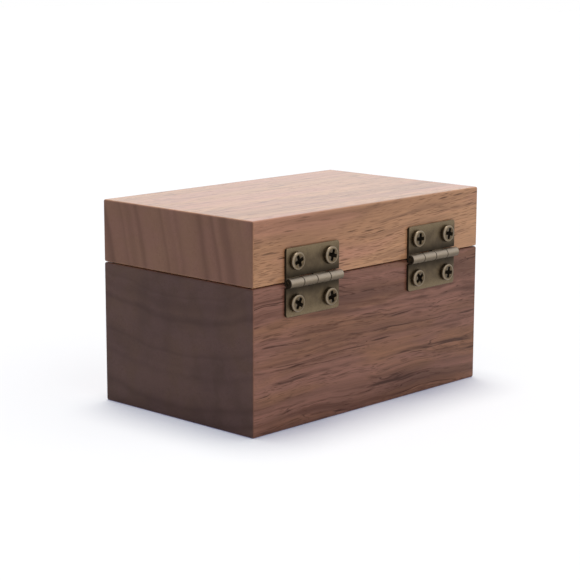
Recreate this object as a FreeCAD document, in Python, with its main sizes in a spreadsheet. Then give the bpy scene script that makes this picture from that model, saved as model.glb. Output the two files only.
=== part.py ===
import FreeCAD, Part
import os

import Sketcher
from FreeCAD import Placement, Rotation, Vector

# A hinged wooden money box. Two walnut blocks, a deep base and a shallow lid, are each hollowed
# out of the solid. Two small butt hinges are screwed to the outside of the back, and disc magnets
# in the front rims keep the lid shut.
# Frame: millimetres, +Z up, the front of the box towards -Y and its hinges at +Y. The origin is
# the middle of the underside of the base block. Left and right are as seen from the front.

DRIVING_SIZES = [
    ("box_length", 100.0, "outside length, along the hinge line"),
    ("box_depth", 62.0, "outside depth, front face to back face"),
    ("base_height", 42.2, "height of the base block"),
    ("lid_height", 18.6, "height of the lid block"),
    ("seam_gap", 0.2, "gap between the closed lid and the base"),
    ("wall_thickness", 8.0, "thickness of the four walls of each block"),
    ("floor_thickness", 7.0, "wood left under the cavity of the base"),
    ("roof_thickness", 7.6, "wood left above the cavity of the lid"),
    ("cavity_corner_radius", 6.0, "radius of the cutter that hollows the blocks"),
    ("cavity_foot_radius", 1.5, "radius where a cavity's walls meet its bottom"),
    ("edge_round", 0.6, "rounding sanded on the outer edges"),
    ("rim_round", 0.4, "rounding sanded on the inner edge of each rim"),
    ("scoop_width", 22.0, "width of the finger scoop in the front of the lid"),
    ("scoop_depth", 3.0, "how far the finger scoop goes into the front wall"),
    ("scoop_height", 4.0, "how far the finger scoop goes up from the lid's rim"),
    ("hinge_inset", 12.4, "end of the box to the nearer end of a hinge"),
    ("hinge_length", 22.0, "length of a hinge along its pin"),
    ("leaf_reach", 9.8, "pin axis to the free edge of a hinge leaf"),
    ("leaf_thickness", 0.8, "thickness of the sheet that a leaf is stamped from"),
    ("leaf_corner_radius", 0.9, "rounding of a leaf's two free corners"),
    ("leaf_clearance", 0.3, "gap from a leaf's notch to the other leaf's knuckle"),
    ("knuckle_clearance", 0.14, "gap between neighbouring knuckles along the pin"),
    ("pin_diameter", 1.1, "diameter of a hinge pin"),
    ("pin_clearance", 0.05, "radial running clearance of a pin in its knuckles"),
    ("pin_proud", 0.25, "how far a pin stands out of each end of its barrel"),
    ("pin_end_round", 0.25, "rounding of a pin's peened ends"),
    ("screw_spacing", 13.9, "distance between the two screws of a leaf"),
    ("screw_offset", 6.0, "pin axis to the row of screws"),
    ("screw_head_diameter", 5.15, "diameter of a screw's pan head"),
    ("screw_head_height", 1.2, "height of a screw's pan head"),
    ("screw_head_round", 0.4, "rounding of the top of a pan head"),
    ("screw_core_diameter", 1.6, "diameter of a screw under its thread"),
    ("screw_length", 6.0, "length of a screw under its head"),
    ("screw_neck_length", 1.0, "unthreaded length under a screw's head"),
    ("screw_point_length", 1.6, "length of a screw's pointed end"),
    ("thread_pitch", 1.0, "distance from one turn of a screw's thread to the next"),
    ("thread_height", 0.3, "height of a screw's thread above its core"),
    ("thread_crest", 0.14, "width of the thread's crest"),
    ("thread_root", 0.6, "width of the thread's root"),
    ("thread_bite", 0.1, "how far the thread's root is sunk into the core"),
    ("screw_clearance", 0.1, "radial gap round a screw in its leaf and in the wood"),
    ("cross_length", 3.4, "length of a screw's cross recess, tip to tip"),
    ("cross_width", 1.0, "width of each arm of the cross recess"),
    ("cross_depth", 0.9, "depth of the cross recess"),
    ("magnet_diameter", 5.0, "diameter of a disc magnet"),
    ("magnet_thickness", 2.0, "thickness of a disc magnet"),
    ("magnet_round", 0.25, "rounding of a magnet's edges"),
    ("magnet_sink", 0.1, "how far a magnet lies below its rim"),
    ("magnet_inset", 12.0, "end of the box to the middle of a magnet"),
    ("glue_gap", 0.06, "glue round and behind a magnet in its bore"),
]

KNUCKLES_PER_LEAF = 2
# Signs of the two ends of the box along X, and of the two screws of a leaf towards its end.
SIDES = {"left": "-1", "right": "1"}
SCREW_PLACES = {"inner": "-1", "outer": "1"}
# How far each screw was turned when it came tight, in degrees, as seen from behind the box.
SCREW_TURNS = {
    "left_lid_inner": -2,
    "left_lid_outer": -13,
    "left_base_inner": 38,
    "left_base_outer": -8,
    "right_lid_inner": -17,
    "right_lid_outer": 21,
    "right_base_inner": 12,
    "right_base_outer": -30,
}

doc = FreeCAD.newDocument("wooden_money_box")
sheet = doc.addObject("Spreadsheet::Sheet", "Sizes")
for row, (alias, millimetres, meaning) in enumerate(DRIVING_SIZES, start=1):
    sheet.set(f"A{row}", meaning)
    sheet.set(f"B{row}", str(millimetres))
    sheet.setAlias(f"B{row}", alias)
doc.recompute()

# Sizes and places that several pieces share, each worked out from the sheet.
HALF_LENGTH = "(Sizes.box_length / 2)"
HALF_DEPTH = "(Sizes.box_depth / 2)"
CAVITY_HALF_LENGTH = f"({HALF_LENGTH} - Sizes.wall_thickness)"
CAVITY_HALF_DEPTH = f"({HALF_DEPTH} - Sizes.wall_thickness)"
LID_UNDERSIDE = "(Sizes.base_height + Sizes.seam_gap)"
HINGE_HALF_LENGTH = "(Sizes.hinge_length / 2)"
HINGE_MIDDLE = f"({HALF_LENGTH} - Sizes.hinge_inset - {HINGE_HALF_LENGTH})"
PIN_BORE_RADIUS = "(Sizes.pin_diameter / 2 + Sizes.pin_clearance)"
BARREL_RADIUS = f"({PIN_BORE_RADIUS} + Sizes.leaf_thickness)"
PIN_AXIS_Y = f"({HALF_DEPTH} + {BARREL_RADIUS})"
PIN_AXIS_Z = "(Sizes.base_height + Sizes.seam_gap / 2)"
SCREW_CORE_RADIUS = "(Sizes.screw_core_diameter / 2)"
THREAD_RADIUS = f"({SCREW_CORE_RADIUS} + Sizes.thread_height)"
SCREW_HOLE_RADIUS = f"({THREAD_RADIUS} + Sizes.screw_clearance)"
SCREW_SEAT_Y = f"({HALF_DEPTH} + Sizes.leaf_thickness)"
SCREW_ROWS_Z = {
    "lid": f"({PIN_AXIS_Z} + Sizes.screw_offset)",
    "base": f"({PIN_AXIS_Z} - Sizes.screw_offset)",
}
PILOT_HOLE_DEPTH = "(Sizes.screw_length - Sizes.leaf_thickness + Sizes.screw_clearance)"
MAGNET_ROW_Y = f"(Sizes.wall_thickness / 2 - {HALF_DEPTH})"
MAGNET_BORE_RADIUS = "(Sizes.magnet_diameter / 2 + Sizes.glue_gap)"
MAGNET_BORE_DEPTH = "(Sizes.magnet_sink + Sizes.magnet_thickness + Sizes.glue_gap)"
MAGNETS_Z = {
    "lid": f"({LID_UNDERSIDE} + Sizes.magnet_sink)",
    "base": "(Sizes.base_height - Sizes.magnet_sink - Sizes.magnet_thickness)",
}

# Numbers that a sketch uses for the ends and the middle of its geometry, and for its own origin.
LINE_START, LINE_END, MIDDLE = range(1, 4)
SKETCH_ORIGIN = (-1, LINE_START)
TOUCHING = 1e-4


def value_of(expression):
    """The number that an expression on the sheet comes to."""
    return float(sheet.evalExpression(expression))


def at(coordinate, expression):
    """Whether a coordinate lies where an expression says."""
    return abs(coordinate - value_of(expression)) < TOUCHING


def hinge_x(side):
    """Where the middle of a hinge lies along the box."""
    return f"({side} * {HINGE_MIDDLE})"


def screw_x(side, place):
    """Where a screw lies along the box, from its hinge's side and its place on the leaf."""
    return f"({side} * ({HINGE_MIDDLE} + {place} * Sizes.screw_spacing / 2))"


def magnet_x(side):
    """Where a magnet lies along the box."""
    return f"({side} * ({HALF_LENGTH} - Sizes.magnet_inset))"


# Sketches, features and placements that are tied to the sheet


def move_to(body, x, y, z, rotation=Rotation()):
    """Turns a body, and ties its place to expressions."""
    body.Placement = Placement(Vector(), rotation)
    body.setExpression("Placement.Base.x", x)
    body.setExpression("Placement.Base.y", y)
    body.setExpression("Placement.Base.z", z)


def new_sketch(body, name, plane, offset="0"):
    """A sketch on one of the body's own planes, moved along the plane's normal by an offset."""
    planes = {feature.Role: feature for feature in body.Origin.OriginFeatures}
    sketch = body.newObject("Sketcher::SketchObject", f"{body.Label}_{name}")
    sketch.AttachmentSupport = [(planes[plane], "")]
    sketch.MapMode = "FlatFace"
    sketch.setExpression("AttachmentOffset.Base.z", offset)
    return sketch


def tie(sketch, kind, geometry, expression):
    """Adds a dimension to a sketch, and ties it to an expression."""
    number = sketch.addConstraint(Sketcher.Constraint(kind, *geometry, value_of(expression)))
    sketch.setExpression(f"Constraints[{number}]", expression)


def draw_outline(sketch, corners):
    """A closed outline of straight lines, each corner tied to its two expressions."""
    points = [Vector(value_of(x), value_of(y), 0) for x, y in corners]
    lines = []
    for first, second in zip(points, points[1:] + points[:1]):
        lines.append(sketch.addGeometry(Part.LineSegment(first, second)))
    for line, following in zip(lines, lines[1:] + lines[:1]):
        sketch.addConstraint(Sketcher.Constraint("Coincident", line, LINE_END, following, LINE_START))
    for line, (x, y) in zip(lines, corners):
        tie(sketch, "DistanceX", (*SKETCH_ORIGIN, line, LINE_START), x)
        tie(sketch, "DistanceY", (*SKETCH_ORIGIN, line, LINE_START), y)


def draw_rectangle(sketch, left, right, bottom, top):
    """An upright rectangle between four expressions."""
    draw_outline(sketch, [(left, bottom), (right, bottom), (right, top), (left, top)])


def draw_circle(sketch, x, y, radius):
    """A circle whose middle and radius are tied to expressions."""
    middle = Vector(value_of(x), value_of(y), 0)
    circle = sketch.addGeometry(Part.Circle(middle, Vector(0, 0, 1), value_of(radius)))
    tie(sketch, "DistanceX", (*SKETCH_ORIGIN, circle, MIDDLE), x)
    tie(sketch, "DistanceY", (*SKETCH_ORIGIN, circle, MIDDLE), y)
    tie(sketch, "Radius", (circle,), radius)


def pad(body, sketch, length, both_ways=False):
    """Builds a sketch up into solid, along its normal or half to each side of its plane."""
    feature = body.newObject("PartDesign::Pad", f"{sketch.Name}_pad")
    feature.Profile = sketch
    feature.SideType = "Symmetric" if both_ways else "One side"
    feature.setExpression("Length", length)
    doc.recompute()


def cut(body, sketch, depth=None, along_normal=False):
    """Cuts a sketch out of the body, to a depth, or right through where no depth is given."""
    volume_before = body.Shape.Volume
    feature = body.newObject("PartDesign::Pocket", f"{sketch.Name}_cut")
    feature.Profile = sketch
    feature.Reversed = along_normal
    if depth is None:
        feature.Type = "ThroughAll"
        feature.SideType = "Symmetric"
    else:
        feature.setExpression("Length", depth)
    doc.recompute()
    if body.Shape.Volume >= volume_before:
        raise RuntimeError(f"{feature.Name} cuts nothing away")


def revolve(body, sketch):
    """Turns a sketch once round its own upright axis."""
    feature = body.newObject("PartDesign::Revolution", f"{sketch.Name}_turned")
    feature.Profile = sketch
    feature.ReferenceAxis = (sketch, ["V_Axis"])
    feature.Angle = 360
    doc.recompute()


def round_edges(body, name, radius, test):
    """Rounds each edge of the body whose two ends and middle all pass a test."""
    shaped_so_far = body.Tip
    chosen = []
    for number, edge in enumerate(shaped_so_far.Shape.Edges, start=1):
        halfway = edge.valueAt((edge.FirstParameter + edge.LastParameter) / 2)
        points = [halfway] + [vertex.Point for vertex in edge.Vertexes]
        if all(test(point) for point in points):
            chosen.append(f"Edge{number}")
    feature = body.newObject("PartDesign::Fillet", f"{body.Label}_{name}")
    feature.Base = (shaped_so_far, chosen)
    feature.setExpression("Radius", radius)
    doc.recompute()


# The two walnut blocks


def make_block(label, height, rim, cavity_bottom):
    """A sanded block with a cavity routed into it from its rim. Heights are in the block's frame."""
    block = doc.addObject("PartDesign::Body", label)
    blank = new_sketch(block, "blank", "XY_Plane")
    draw_rectangle(blank, f"-{HALF_LENGTH}", HALF_LENGTH, f"-{HALF_DEPTH}", HALF_DEPTH)
    pad(block, blank, height)
    round_edges(block, "sanded_edges", "Sizes.edge_round", lambda point: True)

    cavity = new_sketch(block, "cavity", "XY_Plane", rim)
    draw_rectangle(
        cavity, f"-{CAVITY_HALF_LENGTH}", CAVITY_HALF_LENGTH, f"-{CAVITY_HALF_DEPTH}", CAVITY_HALF_DEPTH
    )
    opens_downwards = value_of(rim) < value_of(cavity_bottom)
    cut(block, cavity, f"abs({rim} - {cavity_bottom})", along_normal=opens_downwards)

    def on_corner(point):
        return at(abs(point.x), CAVITY_HALF_LENGTH) and at(abs(point.y), CAVITY_HALF_DEPTH)

    def in_cavity(point):
        within_length = abs(point.x) < value_of(CAVITY_HALF_LENGTH) + TOUCHING
        return within_length and abs(point.y) < value_of(CAVITY_HALF_DEPTH) + TOUCHING

    def on_foot(point):
        return in_cavity(point) and at(point.z, cavity_bottom)

    def on_inner_rim(point):
        return in_cavity(point) and at(point.z, rim)

    round_edges(block, "cavity_corners", "Sizes.cavity_corner_radius", on_corner)
    round_edges(block, "cavity_foot", "Sizes.cavity_foot_radius", on_foot)
    round_edges(block, "inner_rim", "Sizes.rim_round", on_inner_rim)

    bores = new_sketch(block, "magnet_bores", "XY_Plane", rim)
    for side in SIDES.values():
        draw_circle(bores, magnet_x(side), MAGNET_ROW_Y, MAGNET_BORE_RADIUS)
    cut(block, bores, MAGNET_BORE_DEPTH, along_normal=opens_downwards)
    return block


def bore_screw_holes(block, row_z):
    """Blind holes in the back face of a block, for the screws of both hinges."""
    holes = new_sketch(block, "screw_holes", "XZ_Plane", f"-{HALF_DEPTH}")
    for side in SIDES.values():
        for place in SCREW_PLACES.values():
            draw_circle(holes, screw_x(side, place), row_z, SCREW_HOLE_RADIUS)
    cut(block, holes, PILOT_HOLE_DEPTH, along_normal=True)


def make_base_block():
    """The deep block that the box stands on."""
    base = make_block("base_block", "Sizes.base_height", "Sizes.base_height", "Sizes.floor_thickness")
    bore_screw_holes(base, SCREW_ROWS_Z["base"])
    return base


def make_lid_block():
    """The shallow block above, with a finger scoop in the front of its rim."""
    lid = make_block("lid_block", "Sizes.lid_height", "0", "(Sizes.lid_height - Sizes.roof_thickness)")
    bore_screw_holes(lid, f"({SCREW_ROWS_Z['lid']} - {LID_UNDERSIDE})")
    half_width = "(Sizes.scoop_width / 2)"
    scoop_radius = f"(({half_width} ^ 2 + Sizes.scoop_depth ^ 2) / (2 * Sizes.scoop_depth))"
    scoop = new_sketch(lid, "finger_scoop", "XY_Plane")
    draw_circle(scoop, "0", f"(Sizes.scoop_depth - {HALF_DEPTH} - {scoop_radius})", scoop_radius)
    cut(lid, scoop, "Sizes.scoop_height", along_normal=True)
    move_to(lid, "0", "0", LID_UNDERSIDE)
    return lid


# The hinges: their two leaves are the same stamping, and the one on the base is turned half round


def make_leaf(label, side, turned_round):
    """A leaf, made with its pin axis along X through the origin and its plate rising along +Z."""
    leaf = doc.addObject("PartDesign::Body", label)
    barrel = new_sketch(leaf, "barrel", "YZ_Plane")
    draw_circle(barrel, "0", "0", BARREL_RADIUS)
    pad(leaf, barrel, "Sizes.hinge_length", both_ways=True)
    plate = new_sketch(leaf, "plate", "YZ_Plane")
    plate_face = f"(Sizes.leaf_thickness - {BARREL_RADIUS})"
    draw_rectangle(plate, f"-{BARREL_RADIUS}", plate_face, "0", "Sizes.leaf_reach")
    pad(leaf, plate, "Sizes.hinge_length", both_ways=True)
    pin_bore = new_sketch(leaf, "pin_bore", "YZ_Plane")
    draw_circle(pin_bore, "0", "0", PIN_BORE_RADIUS)
    cut(leaf, pin_bore)

    notches = new_sketch(leaf, "notches", "XZ_Plane")
    notch_top = f"({BARREL_RADIUS} + Sizes.leaf_clearance)"
    half_gap = "Sizes.knuckle_clearance / 2"
    for knuckle in range(KNUCKLES_PER_LEAF):
        pitch = f"(Sizes.hinge_length / {2 * KNUCKLES_PER_LEAF})"
        left = f"({2 * knuckle} * {pitch} - {HINGE_HALF_LENGTH} - {half_gap})"
        right = f"({2 * knuckle + 1} * {pitch} - {HINGE_HALF_LENGTH} + {half_gap})"
        draw_rectangle(notches, left, right, f"-{notch_top}", notch_top)
    cut(leaf, notches)

    holes = new_sketch(leaf, "screw_holes", "XZ_Plane")
    for place in SCREW_PLACES.values():
        draw_circle(holes, f"({place} * Sizes.screw_spacing / 2)", "Sizes.screw_offset", SCREW_HOLE_RADIUS)
    cut(leaf, holes)

    def on_free_corner(point):
        return at(abs(point.x), HINGE_HALF_LENGTH) and at(point.z, "Sizes.leaf_reach")

    round_edges(leaf, "free_corners", "Sizes.leaf_corner_radius", on_free_corner)
    half_turn = Rotation(Vector(0, 1, 0), 180 if turned_round else 0)
    move_to(leaf, hinge_x(side), PIN_AXIS_Y, PIN_AXIS_Z, half_turn)
    return leaf


def make_rod(label, diameter, length, end_round):
    """A plain round piece that rises from the origin, with the edges of both its ends rounded."""
    rod = doc.addObject("PartDesign::Body", label)
    section = new_sketch(rod, "section", "XY_Plane")
    draw_circle(section, "0", "0", f"({diameter} / 2)")
    pad(rod, section, length)
    round_edges(rod, "ends", end_round, lambda point: at(point.z, "0") or at(point.z, length))
    return rod


def make_pin(label, side):
    """The pin through all the knuckles of a hinge, its peened ends a little proud of the barrel."""
    pin_length = "(Sizes.hinge_length + 2 * Sizes.pin_proud)"
    pin = make_rod(label, "Sizes.pin_diameter", pin_length, "Sizes.pin_end_round")
    start_x = f"({hinge_x(side)} - {pin_length} / 2)"
    move_to(pin, start_x, PIN_AXIS_Y, PIN_AXIS_Z, Rotation(Vector(0, 1, 0), 90))
    return pin


# The screws


def make_screw(label, x, z, turn):
    """A pan-head wood screw, made point down with the seat of its head at the origin."""
    screw = doc.addObject("PartDesign::Body", label)
    profile = new_sketch(screw, "profile", "XZ_Plane")
    shank_end = "(Sizes.screw_point_length - Sizes.screw_length)"
    head_radius = "(Sizes.screw_head_diameter / 2)"
    draw_outline(
        profile,
        [
            ("0", "Sizes.screw_head_height"),
            ("0", "-Sizes.screw_length"),
            (SCREW_CORE_RADIUS, shank_end),
            (SCREW_CORE_RADIUS, "0"),
            (head_radius, "0"),
            (head_radius, "Sizes.screw_head_height"),
        ],
    )
    revolve(screw, profile)
    round_edges(
        screw, "head_edge", "Sizes.screw_head_round", lambda point: at(point.z, "Sizes.screw_head_height")
    )
    cut_cross(screw)
    wind_thread(screw, shank_end)

    lying_down = Rotation(Vector(1, 0, 0), -90)
    move_to(screw, x, SCREW_SEAT_Y, z, lying_down * Rotation(Vector(0, 0, 1), turn))
    return screw


def cut_cross(screw):
    """The cross-shaped recess for the driver, sunk from the top of the head."""
    recess = new_sketch(screw, "cross", "XY_Plane", "Sizes.screw_head_height")
    reach, edge = "Sizes.cross_length / 2", "Sizes.cross_width / 2"
    corners = []
    for along_x, along_y in ((1, 1), (-1, 1), (-1, -1), (1, -1)):
        arm_x = (f"{along_x} * {reach}", f"{along_y} * {edge}")
        inner = (f"{along_x} * {edge}", f"{along_y} * {edge}")
        arm_y = (f"{along_x} * {edge}", f"{along_y} * {reach}")
        corners += [arm_x, inner, arm_y] if along_x == along_y else [arm_y, inner, arm_x]
    draw_outline(recess, corners)
    cut(screw, recess, "Sizes.cross_depth")


def wind_thread(screw, shank_end):
    """The thread, a ridge wound up the core from the top of the point to the plain neck."""
    ridge = new_sketch(screw, "thread", "XZ_Plane")
    root = f"({SCREW_CORE_RADIUS} - Sizes.thread_bite)"
    middle = f"({shank_end} + Sizes.thread_root / 2)"
    draw_outline(
        ridge,
        [
            (root, f"{middle} - Sizes.thread_root / 2"),
            (THREAD_RADIUS, f"{middle} - Sizes.thread_crest / 2"),
            (THREAD_RADIUS, f"{middle} + Sizes.thread_crest / 2"),
            (root, f"{middle} + Sizes.thread_root / 2"),
        ],
    )
    thread = screw.newObject("PartDesign::AdditiveHelix", f"{ridge.Name}_wound")
    thread.Profile = ridge
    thread.ReferenceAxis = (ridge, ["V_Axis"])
    thread.Mode = "pitch-height-angle"
    thread.setExpression("Pitch", "Sizes.thread_pitch")
    thread.setExpression("Height", f"-Sizes.screw_neck_length - {shank_end} - Sizes.thread_root")
    doc.recompute()


# The magnets


def make_magnet(label, side, bottom_z):
    """A plated disc magnet, glued into its bore in a front rim."""
    magnet = make_rod(label, "Sizes.magnet_diameter", "Sizes.magnet_thickness", "Sizes.magnet_round")
    move_to(magnet, magnet_x(side), MAGNET_ROW_Y, bottom_z)
    return magnet


# The assembly

pieces = [make_base_block(), make_lid_block()]
for side_name, side in SIDES.items():
    pieces.append(make_leaf(f"{side_name}_hinge_lid_leaf", side, turned_round=False))
    pieces.append(make_leaf(f"{side_name}_hinge_base_leaf", side, turned_round=True))
    pieces.append(make_pin(f"{side_name}_hinge_pin", side))
    for block_name, row_z in SCREW_ROWS_Z.items():
        for place_name, place in SCREW_PLACES.items():
            name = f"{side_name}_{block_name}_{place_name}"
            pieces.append(make_screw(f"{name}_screw", screw_x(side, place), row_z, SCREW_TURNS[name]))
    for block_name, bottom_z in MAGNETS_Z.items():
        pieces.append(make_magnet(f"{side_name}_{block_name}_magnet", side, bottom_z))

doc.recompute()
for thing in doc.Objects:
    if "Invalid" in thing.State or "Error" in thing.State:
        raise RuntimeError(f"{thing.Label} could not be made: {thing.State}")
for piece in pieces:
    if piece.Shape.isNull() or not piece.Shape.isValid() or len(piece.Shape.Solids) != 1:
        raise RuntimeError(f"{piece.Label} is not one sound solid")

os.makedirs("parts", exist_ok=True)
for piece in pieces:
    piece.Shape.exportStep(f"parts/{piece.Label}.step")
    print(f"{piece.Label}: {piece.Shape.Volume:.1f} cubic millimetres")
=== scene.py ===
import math

import bmesh
import bpy
from mathutils import Matrix, Vector


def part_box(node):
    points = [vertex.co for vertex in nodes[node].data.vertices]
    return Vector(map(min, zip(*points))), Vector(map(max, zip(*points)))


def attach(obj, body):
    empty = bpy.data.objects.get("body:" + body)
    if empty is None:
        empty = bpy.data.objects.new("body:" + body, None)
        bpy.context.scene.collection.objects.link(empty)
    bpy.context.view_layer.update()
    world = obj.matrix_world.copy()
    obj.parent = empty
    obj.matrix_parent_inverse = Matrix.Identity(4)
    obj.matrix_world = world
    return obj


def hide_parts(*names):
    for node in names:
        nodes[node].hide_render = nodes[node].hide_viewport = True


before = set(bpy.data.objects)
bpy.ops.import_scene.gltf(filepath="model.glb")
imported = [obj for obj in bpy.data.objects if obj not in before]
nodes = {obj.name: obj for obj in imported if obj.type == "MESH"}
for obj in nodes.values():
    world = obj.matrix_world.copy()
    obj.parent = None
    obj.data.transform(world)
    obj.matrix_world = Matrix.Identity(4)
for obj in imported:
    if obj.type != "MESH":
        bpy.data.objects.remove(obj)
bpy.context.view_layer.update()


# The base block is one piece of dark walnut with its grain along the box. Its cavity is routed out
# of the solid, its outside is sanded with softened edges, and a thin oil leaves it satin.

MM = 0.001
END_GRAIN_OIL = 0.1


def add_node(tree, kind, inputs=None, **settings):
    """A shader node with its settings, each input given a value or linked to another node's output."""
    made = tree.nodes.new(kind)
    for name, value in settings.items():
        setattr(made, name, value)
    for name, value in (inputs or {}).items():
        if isinstance(value, bpy.types.NodeSocket):
            tree.links.new(value, made.inputs[name])
        else:
            made.inputs[name].default_value = value
    return made


def reckon(tree, operation, *values):
    """The outcome of one sum on numbers."""
    return add_node(tree, "ShaderNodeMath", dict(enumerate(values)), operation=operation).outputs[0]


def reckon_place(tree, operation, *values):
    """The outcome of one sum on places, or the length that it gives."""
    made = add_node(tree, "ShaderNodeVectorMath", dict(enumerate(values)), operation=operation)
    return made.outputs["Value" if operation == "LENGTH" else "Vector"]


def stretch(tree, place, factors):
    """A place, drawn out or squeezed along each axis."""
    return reckon_place(tree, "MULTIPLY", place, factors)


def draw_out(tree, place, share):
    """A place squeezed to a share of itself along the grain, so that what lies there is long that way."""
    return stretch(tree, place, (share, 1, 1))


def ease(tree, value, start, end, low=0.0, high=1.0):
    """A number that goes smoothly from low to high while a value goes from start to end."""
    limits = {"Value": value, "From Min": start, "From Max": end, "To Min": low, "To Max": high}
    smooth = add_node(tree, "ShaderNodeMapRange", limits, interpolation_type="SMOOTHSTEP")
    return smooth.outputs["Result"]


def mix(tree, factor, first, second):
    """Two colours mixed by a factor."""
    inputs = {0: factor}
    for socket, colour in ((6, first), (7, second)):
        linked = isinstance(colour, bpy.types.NodeSocket)
        inputs[socket] = colour if linked else (*colour, 1)
    return add_node(tree, "ShaderNodeMix", inputs, data_type="RGBA").outputs[2]


def cloudiness(tree, place, scale, detail=2.0, roughness=0.5):
    """Soft random cloud between 0 and 1. The scale is in clouds to one unit of the place."""
    inputs = {"Vector": place, "Scale": scale, "Detail": detail, "Roughness": roughness}
    return add_node(tree, "ShaderNodeTexNoise", inputs).outputs["Fac"]


def drift(tree, value, scale, detail=0.0):
    """Soft random change between 0 and 1 as a number grows."""
    inputs = {"W": value, "Scale": scale, "Detail": detail}
    return add_node(tree, "ShaderNodeTexNoise", inputs, noise_dimensions="1D").outputs["Fac"]


def wander(tree, log, waves):
    """The place in a log whose grain wanders sideways in waves, each with its scale and its height."""
    wavy = log
    for scale, height in waves:
        inputs = {"Vector": draw_out(tree, log, 0.5), "Scale": scale, "Detail": 1.0}
        cloud = add_node(tree, "ShaderNodeTexNoise", inputs).outputs["Color"]
        centred = reckon_place(tree, "SUBTRACT", cloud, (0.5, 0.5, 0.5))
        wavy = reckon_place(tree, "ADD", wavy, stretch(tree, centred, (0, height, height)))
    return wavy


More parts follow.
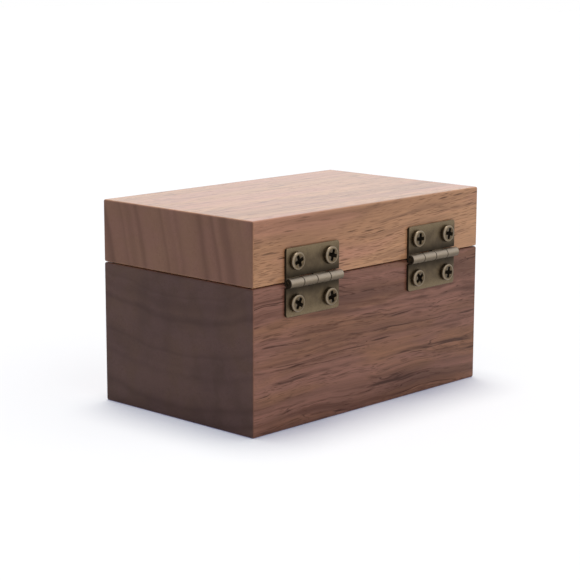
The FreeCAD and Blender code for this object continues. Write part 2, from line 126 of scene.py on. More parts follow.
def walnut(name, board):
    """Solid walnut in the round: growth rings about a pith, fibres and pores along the grain."""
    material = bpy.data.materials.new(name)
    material.use_nodes = True
    tree = material.node_tree
    shader = tree.nodes["Principled BSDF"]
    coordinates = add_node(tree, "ShaderNodeTexCoord").outputs
    placing = {
        "Vector": coordinates["Object"],
        "Location": board["pith"],
        "Rotation": board["grain_turn"],
        "Scale": (1 / MM,) * 3,
    }
    log = add_node(tree, "ShaderNodeMapping", placing).outputs["Vector"]
    wavy = wander(tree, log, board["waves"])
    shifted = reckon_place(tree, "ADD", log, board["patch_shift"])

    # End grain is where the surface faces along the log. Marks along the grain are only dots there.
    facing = add_node(tree, "ShaderNodeSeparateXYZ", {"Vector": coordinates["Normal"]}).outputs["X"]
    slant = reckon(tree, "ABSOLUTE", facing)
    end_grain = ease(tree, slant, 0.35, 0.9)
    along = ease(tree, slant, 0.1, 0.5, 1.0, 0.08)
    calm = ease(tree, slant, 0.1, 0.6, 1.0, 0.4)
    patchy = ease(tree, slant, 0.1, 0.6, 1.0, 0.45)
    banded = ease(tree, end_grain, 0.0, 1.0, 1.0, board["end_banding"])

    # Growth rings, no two alike in width or tone, each darkening to a thin line where it ends.
    radius = reckon_place(tree, "LENGTH", stretch(tree, wavy, (0, 1, 1)))
    years = reckon(tree, "DIVIDE", radius, board["ring_width"])
    age = reckon(tree, "MULTIPLY_ADD", drift(tree, years, 0.6, 1.0), 1.3, years)
    season = reckon(tree, "FRACT", age)
    ring_tone = drift(tree, age, 0.8)
    latewood = reckon(tree, "MULTIPLY", ease(tree, season, 0.05, 0.7), ease(tree, season, 1.0, 0.65))
    band = reckon(tree, "MULTIPLY", latewood, ease(tree, ring_tone, 0.65, 0.3, 0.25, 1.0))
    ring_edge = reckon(tree, "MULTIPLY", ease(tree, season, 0.84, 0.94), ease(tree, season, 1.0, 0.96))
    breaks = cloudiness(tree, draw_out(tree, wavy, 0.12), 0.25, 3.0, 0.6)
    broken_line = reckon(tree, "MULTIPLY", ring_edge, ease(tree, breaks, 0.45, 0.62))

    # Fibres give the fine grain.
    fibres = cloudiness(tree, draw_out(tree, wavy, 0.02), 2.6, 5.0, 0.72)

    # Streaks are long brush marks of darker wood.
    streak_cloud = cloudiness(tree, draw_out(tree, wavy, 0.025), board["streak_scale"], 4.0, 0.55)
    streaks = ease(tree, streak_cloud, 0.53, 0.3)

    # Hairlines are vessels cut open for much of their length, broken up by the fibres that cross them.
    hair_cloud = cloudiness(tree, draw_out(tree, wavy, 0.01), board["hair_scale"], 1.0)
    off_line = reckon(tree, "ABSOLUTE", reckon(tree, "SUBTRACT", hair_cloud, 0.5))
    on_line = ease(tree, off_line, 0.022, 0.0)
    lengths = reckon(tree, "MULTIPLY", on_line, ease(tree, breaks, 0.44, 0.56))
    hairlines = reckon(tree, "MULTIPLY", lengths, ease(tree, fibres, 0.4, 0.52, 0.1, 1.0))

    # Vessels cut along their length are short dark dashes, most crowded where a ring begins.
    early = ease(tree, season, 0.7, 0.15)
    patches = cloudiness(tree, draw_out(tree, shifted, 0.4), 0.06)
    crowding = ease(tree, reckon(tree, "MULTIPLY", early, patches), 0.1, 0.5, *board["dash_crowding"])
    dash_place = draw_out(tree, wavy, board["dash_stretch"])
    dash_inputs = {"Vector": dash_place, "Scale": board["dash_scale"]}
    dash_cells = add_node(tree, "ShaderNodeTexVoronoi", dash_inputs).outputs
    chance = add_node(tree, "ShaderNodeSeparateXYZ", {"Vector": dash_cells["Color"]}).outputs
    present = ease(tree, reckon(tree, "SUBTRACT", crowding, chance["X"]), -0.05, 0.05)
    darkness = ease(tree, chance["Y"], 0.0, 1.0, 0.25, 1.0)
    dash_reach = ease(tree, chance["Z"], 0.0, 1.0, 0.2, 0.46)
    dash_shape = ease(tree, reckon(tree, "SUBTRACT", dash_reach, dash_cells["Distance"]), 0.0, 0.25)
    dashes = reckon(tree, "MULTIPLY", reckon(tree, "MULTIPLY", present, darkness), dash_shape)

    # Pores are the ends and sides of the smallest vessels.
    pore_inputs = {"Vector": draw_out(tree, wavy, 0.05), "Scale": board["pore_scale"]}
    pore_cells = add_node(tree, "ShaderNodeTexVoronoi", pore_inputs).outputs["Distance"]
    pore_size = ease(tree, early, 0.0, 1.0, 0.2, 0.36)
    pores = ease(tree, reckon(tree, "SUBTRACT", pore_size, pore_cells), 0.0, 0.16)

    # The ground goes from shade to light with the rings and along the board, with rosy patches.
    broad = cloudiness(tree, draw_out(tree, shifted, 0.2), 0.06)
    ground_tone = reckon(tree, "MULTIPLY_ADD", ring_tone, board["ring_contrast"], broad)
    middle_tone = 0.5 + 0.5 * board["ring_contrast"]
    lightness = ease(tree, ground_tone, middle_tone - 0.2, middle_tone + 0.2, -0.5, 0.5)
    ground_level = reckon(tree, "MULTIPLY_ADD", lightness, patchy, 0.5)
    ground = mix(tree, ground_level, board["shade"], board["light"])
    rose_cloud = cloudiness(tree, draw_out(tree, wavy, 0.15), board["rose_scale"])
    rosy = reckon(tree, "MULTIPLY", ease(tree, rose_cloud, 0.42, 0.62), calm)
    colour = mix(tree, rosy, ground, board["rose"])

    # The marks lie over the ground, each with its strength, its colour and where it shows.
    marks = (
        (streaks, "streak_strength", "dark", along),
        (band, "band_strength", "dark", banded),
        (broken_line, "line_strength", "vein", along),
        (hairlines, "hair_strength", "vein", along),
        (dashes, "dash_strength", "vein", along),
        (pores, "pore_strength", "vein", calm),
    )
    for mark, strength, tint, showing in marks:
        depth = reckon(tree, "MULTIPLY", reckon(tree, "MULTIPLY", mark, board[strength]), showing)
        colour = mix(tree, depth, colour, board[tint])
    fibre_depth = ease(tree, end_grain, 0.0, 1.0, 1.0, 0.3)
    fibre_change = ease(tree, fibres, 0.25, 0.75, -0.18, 0.18)
    fibre_tone = reckon(tree, "MULTIPLY_ADD", fibre_change, fibre_depth, 1.0)
    # End grain is darker, and its grey-blue cast is partly a painted sheen that stands in for the oil's
    # reflection.
    end_tint_and_sheen = mix(tree, end_grain, (1.0, 1.0, 1.0), board["end_tint_and_sheen"])
    tinted = stretch(tree, colour, end_tint_and_sheen)
    finished = add_node(tree, "ShaderNodeVectorMath", {0: tinted, "Scale": fibre_tone}, operation="SCALE")
    tree.links.new(finished.outputs["Vector"], shader.inputs["Base Color"])

    # Long grain keeps the oil on its face and end grain drinks it in. Fibres and pores stay rough.
    roughened = reckon(tree, "MULTIPLY_ADD", fibres, 0.16, board["roughness"])
    tree.links.new(reckon(tree, "MULTIPLY_ADD", pores, 0.2, roughened), shader.inputs["Roughness"])
    shader.inputs["Specular IOR Level"].default_value = 0.1
    oil = ease(tree, end_grain, 0.0, 1.0, board["oil"], END_GRAIN_OIL)
    tree.links.new(oil, shader.inputs["Coat Weight"])
    shader.inputs["Coat IOR"].default_value = 1.3
    shader.inputs["Coat Roughness"].default_value = 0.14
    relief = reckon(tree, "MULTIPLY_ADD", fibres, 0.35, reckon(tree, "MULTIPLY", pores, -1.0))
    bump = add_node(tree, "ShaderNodeBump", {"Height": relief, "Strength": 0.35, "Distance": 0.06 * MM})
    tree.links.new(bump.outputs["Normal"], shader.inputs["Normal"])
    return material


BASE_BOARD = {
    "pith": (95.0, 5.0, -150.0),
    "grain_turn": (0.0, math.radians(1.0), 0.0),
    "waves": ((0.03, 6.0), (0.11, 2.2)),
    "ring_width": 5.4,
    "ring_contrast": 0.5,
    "streak_scale": 0.6,
    "hair_scale": 0.6,
    "dash_scale": 1.1,
    "dash_stretch": 0.06,
    "dash_crowding": (0.1, 0.65),
    "pore_scale": 2.8,
    "rose_scale": 0.13,
    "patch_shift": (649.0, 206.0, 851.0),
    "light": (0.283, 0.132, 0.078),
    "shade": (0.153, 0.069, 0.051),
    "rose": (0.262, 0.121, 0.092),
    "dark": (0.09, 0.032, 0.019),
    "vein": (0.052, 0.015, 0.007),
    "streak_strength": 0.7,
    "band_strength": 0.4,
    "line_strength": 0.9,
    "hair_strength": 0.95,
    "dash_strength": 0.95,
    "pore_strength": 0.55,
    "end_tint_and_sheen": (0.433, 0.528, 0.725),
    "end_banding": 1.0,
    "roughness": 0.4,
    "oil": 0.45,
}

nodes["base_block"].material_slots[0].material = walnut("base_walnut", BASE_BOARD)


# The lid block comes from a lighter board of the same walnut, sawn so that its growth rings stand
# almost upright. It is routed, sanded and oiled as the base is, with a finger scoop in its front rim.

LID_BOARD = {
    "pith": (65.0, 136.9, -22.0),
    "grain_turn": (0.0, math.radians(-2.0), 0.0),
    "waves": ((0.025, 5.0), (0.09, 1.1)),
    "ring_width": 5.6,
    "ring_contrast": 0.8,
    "streak_scale": 0.6,
    "hair_scale": 0.4,
    "dash_scale": 1.35,
    "dash_stretch": 0.09,
    "dash_crowding": (0.6, 1.1),
    "pore_scale": 2.8,
    "rose_scale": 0.1,
    "patch_shift": (586.0, 710.0, 84.0),
    "light": (0.497, 0.262, 0.145),
    "shade": (0.422, 0.213, 0.119),
    "rose": (0.478, 0.231, 0.152),
    "dark": (0.165, 0.074, 0.042),
    "vein": (0.112, 0.046, 0.021),
    "streak_strength": 0.48,
    "band_strength": 0.32,
    "line_strength": 0.55,
    "hair_strength": 0.2,
    "dash_strength": 0.95,
    "pore_strength": 0.55,
    "end_tint_and_sheen": (0.477, 0.494, 0.66),
    "end_banding": 1.45,
    "roughness": 0.4,
    "oil": 0.75,
}

nodes["lid_block"].material_slots[0].material = walnut("lid_walnut", LID_BOARD)


# The magnets are four nickel-plated discs, glued into blind bores in the front rims so that they
# lie just below the wood.

DULL_NICKEL = (0.38, 0.37, 0.355)
BRIGHT_NICKEL = (0.46, 0.45, 0.435)

magnet_plate = bpy.data.materials.new("magnet_plate")
magnet_plate.use_nodes = True
magnet_tree = magnet_plate.node_tree
magnet_shader = magnet_tree.nodes["Principled BSDF"]
magnet_place = add_node(magnet_tree, "ShaderNodeTexCoord").outputs["Object"]
magnet_brushing = stretch(magnet_tree, magnet_place, (1, 0.2, 1))
magnet_scuffs = cloudiness(magnet_tree, magnet_brushing, 2.2 / MM, 4.0, 0.7)
magnet_clouds = ease(magnet_tree, cloudiness(magnet_tree, magnet_place, 0.35 / MM), 0.3, 0.7)
magnet_colour = mix(magnet_tree, magnet_clouds, DULL_NICKEL, BRIGHT_NICKEL)
magnet_tree.links.new(magnet_colour, magnet_shader.inputs["Base Color"])
magnet_dulling = ease(magnet_tree, magnet_scuffs, 0.35, 0.7, 0.14, 0.36)
magnet_tree.links.new(magnet_dulling, magnet_shader.inputs["Roughness"])
magnet_shader.inputs["Metallic"].default_value = 1.0
for side in ("left", "right"):
    for block in ("base", "lid"):
        nodes[f"{side}_{block}_magnet"].material_slots[0].material = magnet_plate


# The hinge leaves are stamped from brass-plated sheet: a plate with two screw holes and two tongues, each
# tongue rolled into a knuckle. The plating is darkened, then worn paler on the edges, with a painted
# highlight on the knuckles' tops and painted shade below and beside them.

LEAF_THICKNESS = 0.8 * MM
LEAF_CORNER = 0.9 * MM
LEAF_CORNER_STEPS = 6
LEAF_EDGE_ROUND = 0.16 * MM
LEAF_EDGE_STEPS = 3
SHARP_ANGLE = math.radians(40)
KNUCKLE_GAP = 0.14 * MM
NOTCH_CLEARANCE = 0.12 * MM
KNUCKLES = 4
ROLL_ANGLE = math.radians(292)
ROLL_STEPS = 44
SCREW_SPACING = 13.9 * MM
SCREW_OFFSET = 6.0 * MM
SCREW_HOLE_RADIUS = 1.2 * MM
SCREW_HOLE_SIDES = 32
TINY = 0.001 * MM
DARK_PATINA = (0.076, 0.053, 0.03)
PALE_PATINA = (0.122, 0.088, 0.05)
# Rubbed brass colour, shown for real wear and also as a painted highlight.
RUBBED_BRASS_AND_HIGHLIGHT = (0.19, 0.14, 0.08)
BRIGHT_BRASS = (0.31, 0.262, 0.212)
# Old dirt colour, also laid on as painted shade.
OLD_DIRT_AND_SHADE = (0.015, 0.01, 0.005)


def aged_brass(name):
    """Darkened brass plate. Returns the material, its tree, and the sockets for wear and painted
    highlight and for grime and painted shade.
    """
    material = bpy.data.materials.new(name)
    material.use_nodes = True
    tree = material.node_tree
    shader = tree.nodes["Principled BSDF"]
    place = add_node(tree, "ShaderNodeTexCoord").outputs["Object"]
    mottle = cloudiness(tree, place, 0.32 / MM, 4.0, 0.6)
    grit = cloudiness(tree, place, 3.5 / MM, 3.0, 0.7)
    wear_and_highlight = tree.nodes.new("NodeReroute")
    grime_and_shade = tree.nodes.new("NodeReroute")
    rubbed_and_highlit = reckon(tree, "MULTIPLY_ADD", reckon(tree, "SUBTRACT", grit, 0.5), 0.7, wear_and_highlight.outputs[0])
    patina = mix(tree, ease(tree, mottle, 0.3, 0.7), DARK_PATINA, PALE_PATINA)
    # The paler rubbed colour is real wear in places and a painted highlight in others.
    worn_and_highlit = mix(tree, ease(tree, rubbed_and_highlit, 0.05, 0.6), patina, RUBBED_BRASS_AND_HIGHLIGHT)
    metal = mix(tree, ease(tree, rubbed_and_highlit, 0.4, 1.0), worn_and_highlit, BRIGHT_BRASS)
    # The grime darkens the metal with real dirt in places and painted shade in others.
    dirty_and_shaded = mix(tree, grime_and_shade.outputs[0], metal, OLD_DIRT_AND_SHADE)
    tree.links.new(dirty_and_shaded, shader.inputs["Base Color"])
    shader.inputs["Metallic"].default_value = 0.85
    dulled = reckon(tree, "MULTIPLY_ADD", grit, 0.14, 0.33)
    grime_and_shade_dulled = reckon(tree, "MULTIPLY_ADD", grime_and_shade.outputs[0], 0.3, dulled)
    tree.links.new(grime_and_shade_dulled, shader.inputs["Roughness"])
    bump = add_node(tree, "ShaderNodeBump", {"Height": grit, "Strength": 0.25, "Distance": 0.02 * MM})
    tree.links.new(bump.outputs["Normal"], shader.inputs["Normal"])
    return material, tree, wear_and_highlight.inputs[0], grime_and_shade.inputs[0]


def finish_piece(name, bm, material, frame_place, place_name):
    """Makes an object of a mesh. Each point keeps where it was in the piece's own frame, in mm."""
    own_place = [vert.co / MM for vert in bm.verts]
    bmesh.ops.transform(bm, matrix=frame_place, verts=bm.verts)
    mesh = bpy.data.meshes.new(name)
    bm.to_mesh(mesh)
    bm.free()
    attribute = mesh.attributes.new(place_name, "FLOAT_VECTOR", "POINT")
    for item, place in zip(attribute.data, own_place):
        item.vector = place
    mesh.shade_smooth()
    mesh.materials.append(material)
    piece = bpy.data.objects.new(name, mesh)
    bpy.context.scene.collection.objects.link(piece)
    piece.modifiers.new("flat_faces", "WEIGHTED_NORMAL")
    return piece


def leaf_blank(bm, length, reach, barrel_radius):
    """The stamped blank, flat against the wood at the back of the barrel, tongues down to the pin."""
    pitch = length / KNUCKLES
    notch_top = barrel_radius + NOTCH_CLEARANCE
    outline = [(-length / 2, reach), (-length / 2, notch_top)]
    for tongue in range(1, KNUCKLES, 2):
        left = -length / 2 + tongue * pitch + KNUCKLE_GAP / 2
        right = left + pitch - KNUCKLE_GAP
        # The last tongue is flush with the end of the plate.
        if tongue == KNUCKLES - 1:
            right = length / 2
        outline += [(left, notch_top), (left, 0), (right, 0), (right, notch_top)]
    outline[-1] = (length / 2, reach)
    corners = [bm.verts.new((x, -barrel_radius, z)) for x, z in outline]
    bm.faces.new(corners)
    free_corners = [vert for vert in corners if vert.co.z > reach - TINY]
    bmesh.ops.bevel(
        bm,
        geom=free_corners,
        offset=LEAF_CORNER,
        segments=LEAF_CORNER_STEPS,
        profile=0.5,
        affect="VERTICES",
        material=-1,
    )
    bmesh.ops.delete(bm, geom=bm.faces[:], context="FACES_ONLY")
    for place in (-1, 1):
        middle = Vector((place * SCREW_SPACING / 2, -barrel_radius, SCREW_OFFSET))
        upright = Matrix.Translation(middle) @ Matrix.Rotation(math.pi / 2, 4, "X")
        bmesh.ops.create_circle(
            bm,
            cap_ends=False,
            segments=SCREW_HOLE_SIDES,
            radius=SCREW_HOLE_RADIUS,
            matrix=upright,
        )
    bmesh.ops.triangle_fill(bm, use_beauty=True, edges=bm.edges[:])
    thickened = bmesh.ops.extrude_face_region(bm, geom=bm.faces[:])
    lifted = [part for part in thickened["geom"] if isinstance(part, bmesh.types.BMVert)]
    bmesh.ops.translate(bm, vec=(0, LEAF_THICKNESS, 0), verts=lifted)
    bmesh.ops.recalc_face_normals(bm, faces=bm.faces[:])


def roll_leaf(length, reach, barrel_radius):
    """A whole leaf, its pin along X through the origin and its plate rising along Z."""
    bm = bmesh.new()
    leaf_blank(bm, length, reach, barrel_radius)
    tongue_ends = [face for face in bm.faces if all(abs(vert.co.z) < TINY for vert in face.verts)]
    for end in tongue_ends:
        bmesh.ops.spin(
            bm,
            geom=[end],
            cent=(0, 0, 0),
            axis=(1, 0, 0),
            dvec=(0, 0, 0),
            angle=ROLL_ANGLE,
            steps=ROLL_STEPS,
        )
    # The spin leaves the face that it starts from, which would be a wall inside the sheet.
    bmesh.ops.delete(bm, geom=tongue_ends, context="FACES_ONLY")
    bmesh.ops.remove_doubles(bm, verts=bm.verts[:], dist=TINY)
    bmesh.ops.recalc_face_normals(bm, faces=bm.faces[:])
    sharp = [edge for edge in bm.edges if edge.calc_face_angle(0.0) > SHARP_ANGLE]
    bmesh.ops.bevel(
        bm,
        geom=sharp,
        offset=LEAF_EDGE_ROUND,
        segments=LEAF_EDGE_STEPS,
        profile=0.5,
        affect="EDGES",
        material=-1,
    )
    return bm


leaf_brass, leaf_tree, leaf_wear_and_highlight, leaf_grime_and_shade = aged_brass("leaf_brass")
leaf_points = add_node(leaf_tree, "ShaderNodeAttribute", attribute_name="leaf_place").outputs["Vector"]
leaf_axes = add_node(leaf_tree, "ShaderNodeSeparateXYZ", {"Vector": leaf_points}).outputs
leaf_normal = add_node(leaf_tree, "ShaderNodeTexCoord").outputs["Normal"]
leaf_facing = add_node(leaf_tree, "ShaderNodeSeparateXYZ", {"Vector": leaf_normal}).outputs

# The knuckles' tops are paler, partly rubbed by hands and cloths and partly a painted highlight from
# above; the plate's free edge is rubbed a little.
on_barrel = ease(leaf_tree, leaf_axes["Z"], 1.6, 1.35)
top_rub_and_highlight = ease(leaf_tree, leaf_facing["Z"], -0.4, 0.8, 0.64, 0.9)
barrel_rub_and_highlight = reckon(leaf_tree, "MULTIPLY", on_barrel, top_rub_and_highlight)
plate_rub = ease(leaf_tree, leaf_axes["Z"], 5.0, 9.8, 0.0, 0.42)
leaf_tree.links.new(reckon(leaf_tree, "MAXIMUM", barrel_rub_and_highlight, plate_rub), leaf_wear_and_highlight)

# Dirt darkens the joints between the knuckles. Painted shade darkens the knuckles' undersides and the
# plate beside the barrel, and, together with some dirt, the knuckles' ends and the other faces that look
# along the pin.
first_low, first_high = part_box("left_hinge_lid_leaf")
knuckle_pitch = (first_high.x - first_low.x) / KNUCKLES / MM
along_knuckle = reckon(leaf_tree, "FRACT", reckon(leaf_tree, "DIVIDE", leaf_axes["X"], knuckle_pitch))
from_middle = reckon(leaf_tree, "ABSOLUTE", reckon(leaf_tree, "SUBTRACT", along_knuckle, 0.5))
joint_dirt = ease(leaf_tree, from_middle, 0.455, 0.49, 0.0, 0.9)
# Painted shade on the knuckles' undersides.
underside_shade = ease(leaf_tree, leaf_facing["Z"], 0.2, -0.35, 0.0, 0.34)
knuckle_dirt_and_shade = reckon(leaf_tree, "MAXIMUM", joint_dirt, underside_shade)
barrel_dirt_and_shade = reckon(leaf_tree, "MULTIPLY", on_barrel, knuckle_dirt_and_shade)
# The faces that look along the pin, knuckle ends and plate edges, are darkened by dirt and painted shade.
end_dirt_and_shade = ease(leaf_tree, reckon(leaf_tree, "ABSOLUTE", leaf_facing["X"]), 0.35, 0.8, 0.0, 0.88)
# Painted shade on the plate in the crease beside the barrel.
crevice_shade = ease(leaf_tree, leaf_axes["Z"], 5.0, 1.7, 0.0, 0.75)
plate_shade = reckon(leaf_tree, "MULTIPLY", crevice_shade, reckon(leaf_tree, "SUBTRACT", 1.0, on_barrel))
flat_dirt_and_shade = reckon(leaf_tree, "MAXIMUM", end_dirt_and_shade, plate_shade)
leaf_tree.links.new(reckon(leaf_tree, "MAXIMUM", barrel_dirt_and_shade, flat_dirt_and_shade), leaf_grime_and_shade)

for side in ("left", "right"):
    pin_low, pin_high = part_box(f"{side}_hinge_pin")
    pin_middle = (pin_low + pin_high) / 2
    for block, body in (("lid", "lid"), ("base", "box")):
        node_name = f"{side}_hinge_{block}_leaf"
        leaf_low, leaf_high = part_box(node_name)
        leaf_length = leaf_high.x - leaf_low.x
        leaf_reach = max(leaf_high.z - pin_middle.z, pin_middle.z - leaf_low.z)
        leaf_mesh = roll_leaf(leaf_length, leaf_reach, leaf_high.y - pin_middle.y)
        half_turn = Matrix.Rotation(math.pi if block == "base" else 0, 4, "Y")
        hung = Matrix.Translation(pin_middle) @ half_turn
        leaf = finish_piece(f"{node_name}_rolled", leaf_mesh, leaf_brass, hung, "leaf_place")
        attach(leaf, body)
        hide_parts(node_name)


# The hinge pins are plain drawn rods through the knuckles, their ends peened to a low dome a little proud
# of the barrel. They have the finish of the leaves, made almost black by old oil and dirt and by painted
# shade.

pin_brass, pin_tree, pin_wear, pin_grime_and_shade = aged_brass("pin_brass")
pin_place = add_node(pin_tree, "ShaderNodeTexCoord").outputs["Object"]
pin_cloud = cloudiness(pin_tree, pin_place, 1 / MM)
pin_tree.links.new(ease(pin_tree, pin_cloud, 0.3, 0.7, 0.0, 0.4), pin_wear)
# The pins' grime is dirt and painted shade.
pin_tree.links.new(ease(pin_tree, pin_cloud, 0.3, 0.7, 0.95, 0.7), pin_grime_and_shade)
for side in ("left", "right"):
    nodes[f"{side}_hinge_pin"].material_slots[0].material = pin_brass


# The screws are small pan-head wood screws with a cross recess, cold-headed and thread-rolled, with the
# same darkened finish as the hinges. Their rims are paler, partly rubbed bright by drivers and partly a
# painted highlight.

# Radius and height in mm, from the edge of the head's flat down to its seat, and on to the point.
HEAD_OUTLINE = [
    (1.95, 1.2),
    (2.2, 1.17),
    (2.4, 1.07),
    (2.53, 0.88),
    (2.575, 0.65),
    (2.575, 0.08),
    (2.5, 0.0),
]
SHANK_OUTLINE = [(0.8, 0.0), (0.8, -1.0), (0.8, -4.4), (0.45, -5.2), (0.08, -6.0)]
HEAD_HEIGHT = HEAD_OUTLINE[0][1] * MM
HEAD_SIDES = 64
CROSS_REACH = 1.75 * MM
CROSS_HALF_WIDTH = 0.55 * MM
CROSS_CORNER = 0.2 * MM
CROSS_CORNER_STEPS = 3

# The recess narrows as it goes down: the share of the cross's size, and the height in mm.
CROSS_STEPS = [(0.97, 1.15), (0.93, 1.0), (0.7, 0.3), (0.35, -0.25)]

# The ridge's corners at its lower end, each a radius and a height in mm.
THREAD_PROFILE = [(0.7, -4.3), (1.1, -4.07), (1.1, -3.93), (0.7, -3.7)]
THREAD_PITCH = 1.0 * MM
THREAD_TURNS = 2.6
THREAD_STEPS_PER_TURN = 28

# Each screw came to rest with its cross at its own angle, in degrees.
SCREW_TURNS = {
    "left_lid_inner": -2,
    "left_lid_outer": -13,
    "left_base_inner": 38,
    "left_base_outer": -8,
    "right_lid_inner": -17,
    "right_lid_outer": 21,
    "right_base_inner": 12,
    "right_base_outer": -30,
}


def grow_ring(bm, edges, radius_from, radius_to, height):
    """Extrudes a ring of edges to a new radius and height, and returns the new ring."""
    grown = bmesh.ops.extrude_edge_only(bm, edges=edges)["geom"]
    verts = [part for part in grown if isinstance(part, bmesh.types.BMVert)]
    ratio = radius_to / radius_from
    bmesh.ops.scale(bm, vec=(ratio, ratio, 1), verts=verts)
    for vert in verts:
        vert.co.z = height
    return [part for part in grown if isinstance(part, bmesh.types.BMEdge)]


def pan_screw():
    """A whole screw, point down, the seat of its head at the origin."""
    bm = bmesh.new()
    flat_radius = HEAD_OUTLINE[0][0]
    bmesh.ops.create_circle(
        bm,
        cap_ends=False,
        segments=HEAD_SIDES,
        radius=flat_radius * MM,
        matrix=Matrix.Translation((0, 0, HEAD_HEIGHT)),
    )
    rim_edges = bm.edges[:]

    # The flat of the head, with the cross left open in it.
    corners = []
    for quarter in range(4):
        turn = Matrix.Rotation(quarter * math.pi / 2, 3, "Z")
        for x, y in (
            (CROSS_REACH, -CROSS_HALF_WIDTH),
            (CROSS_REACH, CROSS_HALF_WIDTH),
            (CROSS_HALF_WIDTH, CROSS_HALF_WIDTH),
        ):
            corners.append(bm.verts.new(turn @ Vector((x, y, HEAD_HEIGHT))))
    bm.faces.new(corners)
    bmesh.ops.bevel(
        bm,
        geom=corners,
        offset=CROSS_CORNER,
        segments=CROSS_CORNER_STEPS,
        profile=0.5,
        affect="VERTICES",
        material=-1,
    )
    cross_edges = [edge for edge in bm.edges if edge not in rim_edges]
    bmesh.ops.delete(bm, geom=bm.faces[:], context="FACES_ONLY")
    bmesh.ops.triangle_fill(bm, use_beauty=True, edges=rim_edges + cross_edges)

    # The recess goes down from the cross, and the head and shank from the flat's edge.
    size = 1.0
    for new_size, height in CROSS_STEPS:
        cross_edges = grow_ring(bm, cross_edges, size, new_size, height * MM)
        size = new_size
    bmesh.ops.edgeloop_fill(bm, edges=cross_edges)
    ring = rim_edges
    radius = flat_radius
    for new_radius, height in HEAD_OUTLINE[1:] + SHANK_OUTLINE:
        ring = grow_ring(bm, ring, radius, new_radius, height * MM)
        radius = new_radius
    bmesh.ops.edgeloop_fill(bm, edges=ring)

    # The thread winds up the shank.
    ridge = bm.faces.new([bm.verts.new((r * MM, 0, z * MM)) for r, z in THREAD_PROFILE])
    bmesh.ops.spin(
        bm,
        geom=[ridge],
        cent=(0, 0, 0),
        axis=(0, 0, 1),
        dvec=(0, 0, THREAD_PITCH / THREAD_STEPS_PER_TURN),
        angle=THREAD_TURNS * 2 * math.pi,
        steps=round(THREAD_TURNS * THREAD_STEPS_PER_TURN),
    )
    bmesh.ops.recalc_face_normals(bm, faces=bm.faces[:])
    return bm


screw_brass, screw_tree, screw_wear_and_highlight, screw_grime_and_shade = aged_brass("screw_brass")
screw_points = add_node(screw_tree, "ShaderNodeAttribute", attribute_name="screw_place").outputs["Vector"]
screw_height = add_node(screw_tree, "ShaderNodeSeparateXYZ", {"Vector": screw_points}).outputs["Z"]
from_axis = reckon_place(screw_tree, "LENGTH", stretch(screw_tree, screw_points, (1, 1, 0)))

# The shoulder of the head is paler, partly wear and partly a painted highlight, and dirt with painted
# shade fills the recess.
on_shoulder = ease(screw_tree, screw_height, 0.5, 1.0)
rim_rub_and_highlight = ease(screw_tree, from_axis, 1.8, 2.35, 0.15, 0.72)
screw_tree.links.new(reckon(screw_tree, "MULTIPLY", on_shoulder, rim_rub_and_highlight), screw_wear_and_highlight)
# Dirt and painted shade darken the recess.
below_face = ease(screw_tree, screw_height, 1.19, 1.12)
recess_dirt_and_shade = reckon(screw_tree, "MULTIPLY", below_face, ease(screw_tree, from_axis, 1.95, 1.8))
screw_tree.links.new(recess_dirt_and_shade, screw_grime_and_shade)

for screw, turn in SCREW_TURNS.items():
    node_name = f"{screw}_screw"
    body = "lid" if "_lid_" in node_name else "box"
    screw_low, screw_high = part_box(node_name)
    middle = (screw_low + screw_high) / 2
    seat = Vector((middle.x, screw_high.y - HEAD_HEIGHT, middle.z))
    lying_down = Matrix.Rotation(-math.pi / 2, 4, "X") @ Matrix.Rotation(math.radians(turn), 4, "Z")
    driven = Matrix.Translation(seat) @ lying_down
    headed = finish_piece(f"{node_name}_headed", pan_screw(), screw_brass, driven, "screw_place")
    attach(headed, body)
    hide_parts(node_name)


# The floor is a plain white sheet that keeps the box's soft shadow. It lies a hair below the box and
# is clear from underneath, and to the short rays between the two, so the underside is seen and lit.

FLOOR_SIZE = 3.0
FLOOR_DROP = 0.02 * MM
UNDERSIDE_REACH = 0.15 * MM


def seen(tree):
    """1 where the camera sees a thing itself, or in metal or glass, and 0 where it only lights others."""
    path = add_node(tree, "ShaderNodeLightPath").outputs
    in_glass = reckon(tree, "MAXIMUM", path["Is Glossy Ray"], path["Is Transmission Ray"])
    return reckon(tree, "MAXIMUM", path["Is Camera Ray"], in_glass)


floor_mesh = bpy.data.meshes.new("floor")
floor_bm = bmesh.new()
bmesh.ops.create_grid(
    floor_bm,
    x_segments=1,
    y_segments=1,
    size=FLOOR_SIZE,
    matrix=Matrix.Translation((0, 0, -FLOOR_DROP)),
)
floor_bm.to_mesh(floor_mesh)
floor_bm.free()
floor = bpy.data.objects.new("floor", floor_mesh)
bpy.context.scene.collection.objects.link(floor)
floor_white = bpy.data.materials.new("floor_white")
floor_white.use_nodes = True
floor_tree = floor_white.node_tree
floor_shader = floor_tree.nodes["Principled BSDF"]
floor_shader.inputs["Base Color"].default_value = (0.77, 0.76, 0.7, 1)
floor_shader.inputs["Roughness"].default_value = 0.9
floor_shader.inputs["Specular IOR Level"].default_value = 0.0
floor_shader.inputs["Emission Color"].default_value = (0.075, 0.1, 0.2, 1)
floor_tree.links.new(seen(floor_tree), floor_shader.inputs["Emission Strength"])
from_below = add_node(floor_tree, "ShaderNodeNewGeometry").outputs["Backfacing"]
ray_length = add_node(floor_tree, "ShaderNodeLightPath").outputs["Ray Length"]
from_underside = reckon(floor_tree, "LESS_THAN", ray_length, UNDERSIDE_REACH)
clear = add_node(floor_tree, "ShaderNodeBsdfTransparent").outputs["BSDF"]
one_sided = {
    0: reckon(floor_tree, "MAXIMUM", from_below, from_underside),
    1: floor_shader.outputs["BSDF"],
    2: clear,
}
floor_surface = add_node(floor_tree, "ShaderNodeMixShader", one_sided).outputs["Shader"]
floor_tree.links.new(floor_surface, floor_tree.nodes["Material Output"].inputs["Surface"])
floor_mesh.materials.append(floor_white)


# A white room gives the soft fill. One softbox hangs over the box, a little to the front, and a
# wider one stands low behind it and lights the hinged back.

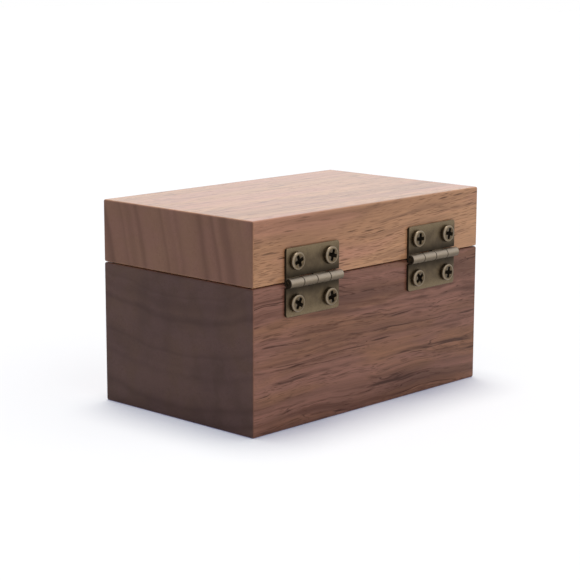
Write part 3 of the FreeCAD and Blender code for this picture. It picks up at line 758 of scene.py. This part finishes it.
FILL_LEVEL = 0.36
LAMPS = {
    "top_softbox": {
        "from": (-0.08, -0.13, 0.988),
        "level": 0.8,
        "spread": 30,
        "tint": (1.0, 0.99, 0.975),
    },
    "back_softbox": {
        "from": (-0.3, 0.85, 0.43),
        "level": 0.19,
        "spread": 80,
        "tint": (1.0, 0.985, 0.96),
    },
}

world = bpy.data.worlds.new("white_room")
bpy.context.scene.world = world
world.use_nodes = True
room = world.node_tree
background = room.nodes["Background"].inputs
background["Color"].default_value = (1, 1, 1, 1)
room_level = reckon(room, "MULTIPLY_ADD", seen(room), 1 - FILL_LEVEL, FILL_LEVEL)
room.links.new(room_level, background["Strength"])

for lamp_name, lamp in LAMPS.items():
    light = bpy.data.lights.new(lamp_name, "SUN")
    light.energy = lamp["level"] * math.pi
    light.angle = math.radians(lamp["spread"])
    light.color = lamp["tint"]
    softbox = bpy.data.objects.new(lamp_name, light)
    softbox.rotation_mode = "QUATERNION"
    softbox.rotation_quaternion = (-Vector(lamp["from"])).to_track_quat("-Z", "Y")
    bpy.context.scene.collection.objects.link(softbox)


# The camera looks at the hinged back from the right-hand end, a little above the lid.

SENSOR_WIDTH = 36.0
CAMERA_LENS = 106.73
CAMERA_AZIMUTH = math.radians(133.376)
CAMERA_ELEVATION = math.radians(11.087)
CAMERA_ROLL = math.radians(0.165)
CAMERA_DISTANCE = 527.4 * MM
CAMERA_AIM = Vector((1.1, -1.26, 30.9)) * MM

backwards = Vector(
    (
        math.sin(CAMERA_AZIMUTH) * math.cos(CAMERA_ELEVATION),
        -math.cos(CAMERA_AZIMUTH) * math.cos(CAMERA_ELEVATION),
        math.sin(CAMERA_ELEVATION),
    )
)
level = backwards.to_track_quat("Z", "Y")
camera_data = bpy.data.cameras.new("camera")
camera_data.sensor_width = SENSOR_WIDTH
camera_data.lens = CAMERA_LENS
camera_data.clip_start = 10 * MM
camera = bpy.data.objects.new("camera", camera_data)
camera.rotation_mode = "QUATERNION"
camera.rotation_quaternion = level @ Matrix.Rotation(CAMERA_ROLL, 3, "Z").to_quaternion()
camera.location = CAMERA_AIM + backwards * CAMERA_DISTANCE
bpy.context.scene.collection.objects.link(camera)
bpy.context.scene.camera = camera
bpy.context.scene.view_settings.view_transform = "Standard"
